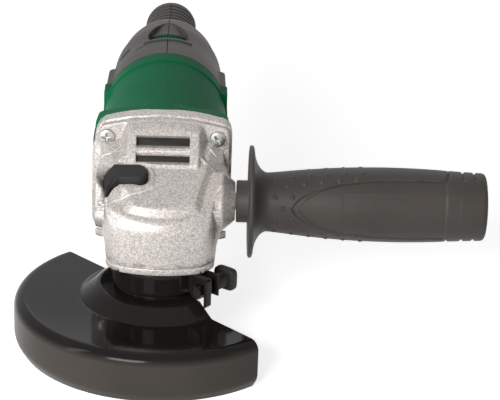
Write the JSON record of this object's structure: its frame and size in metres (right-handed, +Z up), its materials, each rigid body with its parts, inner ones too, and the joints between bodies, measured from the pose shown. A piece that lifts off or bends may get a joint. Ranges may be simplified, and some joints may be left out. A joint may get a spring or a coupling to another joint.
{
  "type": "angle grinder",
  "caption": "Hand-held electric angle grinder: bare cast gear head, green motor barrel, dark tapered rear handle, screw-in side handle, and a half wheel guard on a clamp band.",
  "frame": {"origin": "spindle axis at the wheel seat, the lower face of the wheel flange", "axes": "+Z up the spindle, away from the wheel; +Y along the motor to the tail; +X along the side handle"},
  "size_m": [0.219, 0.325, 0.1037],
  "materials": {
    "cast_aluminium": "sand-blasted die casting",
    "green_plastic": "satin moulded",
    "grey_plastic": "fine-grained moulded",
    "black_plastic": "satin moulded",
    "black_paint": "gloss",
    "zinc_steel": "bright zinc",
    "steel": "turned and ground",
    "gear_steel": "hardened, oiled",
    "lamination": "stacked sheet",
    "copper": "enamelled wire and bars",
    "brass": "plain",
    "carbon": "pressed carbon",
    "rubber": "moulded",
    "felt": "pressed",
    "capacitor_case": "moulded"
  },
  "bodies": {
    "machine": {"gear_housing": "cast_aluminium", "gear_cover": "cast_aluminium", "cover_gasket": "rubber", "cover_screws": "zinc_steel", "housing_screws": "zinc_steel", "motor_housing": "green_plastic", "rear_handle_left": "grey_plastic", "rear_handle_right": "grey_plastic", "handle_screws": "zinc_steel", "switch_block": "black_plastic", "capacitor": "capacitor_case", "cord_clamp": "black_plastic", "cord_gland": "rubber", "stator_core": "lamination", "stator_coils": "copper", "air_baffle": "black_plastic", "front_bearing_outer": "steel", "rear_bearing_outer": "steel", "rear_bearing_bush": "rubber", "spindle_bearing_outer": "steel", "bearing_retainer": "steel", "dust_seal": "felt", "needle_bearing": "steel", "brush_holders": "brass", "brush_spring_left": "steel", "brush_spring_right": "steel", "lock_spring": "steel"},
    "armature": {"armature_shaft": "steel", "armature_core": "lamination", "armature_windings": "copper", "commutator": "copper", "cooling_fan": "black_plastic", "pinion": "gear_steel", "pinion_nut": "steel", "front_bearing_inner": "steel", "rear_bearing_inner": "steel"},
    "front_bearing_cage": {"front_bearing_balls": "steel"},
    "rear_bearing_cage": {"rear_bearing_balls": "steel"},
    "spindle_bearing_cage": {"spindle_bearing_balls": "steel"},
    "spindle": {"spindle": "steel", "bevel_gear": "gear_steel", "gear_key": "steel", "wheel_flange": "steel", "spindle_bearing_inner": "steel"},
    "lock_nut": {"lock_nut": "zinc_steel"},
    "lock_button": {"lock_button": "black_plastic", "lock_pin": "steel"},
    "switch": {"switch_slider": "black_plastic", "switch_link": "black_plastic"},
    "guard": {"wheel_guard": "black_paint", "guard_band": "black_paint", "clamp_nut": "black_paint"},
    "thumb_screw": {"clamp_stud": "steel", "thumb_knob": "black_plastic"},
    "side_handle": {"side_handle_grip": "grey_plastic", "side_handle_stud": "steel"},
    "brush_left": {"brush_left": "carbon"},
    "brush_right": {"brush_right": "carbon"}
  },
  "joints": [
    {"name": "armature_spin", "type": "hinge", "parent": "machine", "child": "armature", "pos_m": [0, 0, 0.058], "axis": [0, 1, 0], "continuous": true},
    {"name": "spindle_spin", "type": "hinge", "parent": "machine", "child": "spindle", "pos_m": [0, 0, 0], "axis": [0, 0, 1], "continuous": true},
    {"name": "front_bearing_roll", "type": "hinge", "parent": "machine", "child": "front_bearing_cage", "pos_m": [0, 0, 0.058], "axis": [0, 1, 0], "continuous": true},
    {"name": "rear_bearing_roll", "type": "hinge", "parent": "machine", "child": "rear_bearing_cage", "pos_m": [0, 0, 0.058], "axis": [0, 1, 0], "continuous": true},
    {"name": "spindle_bearing_roll", "type": "hinge", "parent": "machine", "child": "spindle_bearing_cage", "pos_m": [0, 0, 0], "axis": [0, 0, 1], "continuous": true},
    {"name": "lock_nut_off", "type": "slide", "parent": "spindle", "child": "lock_nut", "axis": [0, 0, -1], "range_m": [0, 0.03]},
    {"name": "lock_press", "type": "slide", "parent": "machine", "child": "lock_button", "axis": [0, 0, -1], "range_m": [0, 0.003], "stiffness_N_per_m": 900, "springref_m": -0.001, "deforming": ["lock_spring"]},
    {"name": "switch_slide", "type": "slide", "parent": "machine", "child": "switch", "axis": [0, -1, 0], "range_m": [0, 0.007]},
    {"name": "guard_turn", "type": "hinge", "parent": "machine", "child": "guard", "pos_m": [0, 0, 0], "axis": [0, 0, 1], "range_deg": [-90, 45]},
    {"name": "clamp_turn", "type": "hinge", "parent": "guard", "child": "thumb_screw", "pos_m": [0.02203, -0.01721, 0.0202], "axis": [0.6157, 0.788, 0], "continuous": true},
    {"name": "side_handle_turn", "type": "hinge", "parent": "machine", "child": "side_handle", "pos_m": [0.035, 0.002, 0.056], "axis": [1, 0, 0], "continuous": true},
    {"name": "brush_left_slide", "type": "slide", "parent": "machine", "child": "brush_left", "axis": [-1, 0, 0], "range_m": [0, 0.002], "stiffness_N_per_m": 300, "springref_m": -0.002, "deforming": ["brush_spring_left"]},
    {"name": "brush_right_slide", "type": "slide", "parent": "machine", "child": "brush_right", "axis": [1, 0, 0], "range_m": [0, 0.002], "stiffness_N_per_m": 300, "springref_m": -0.002, "deforming": ["brush_spring_right"]}
  ],
  "couplings": [
    {"joint": "spindle_spin", "follows": "armature_spin", "ratio": 0.2973},
    {"joint": "front_bearing_roll", "follows": "armature_spin", "ratio": 0.3667},
    {"joint": "rear_bearing_roll", "follows": "armature_spin", "ratio": 0.3538},
    {"joint": "spindle_bearing_roll", "follows": "armature_spin", "ratio": 0.1081}
  ]
}
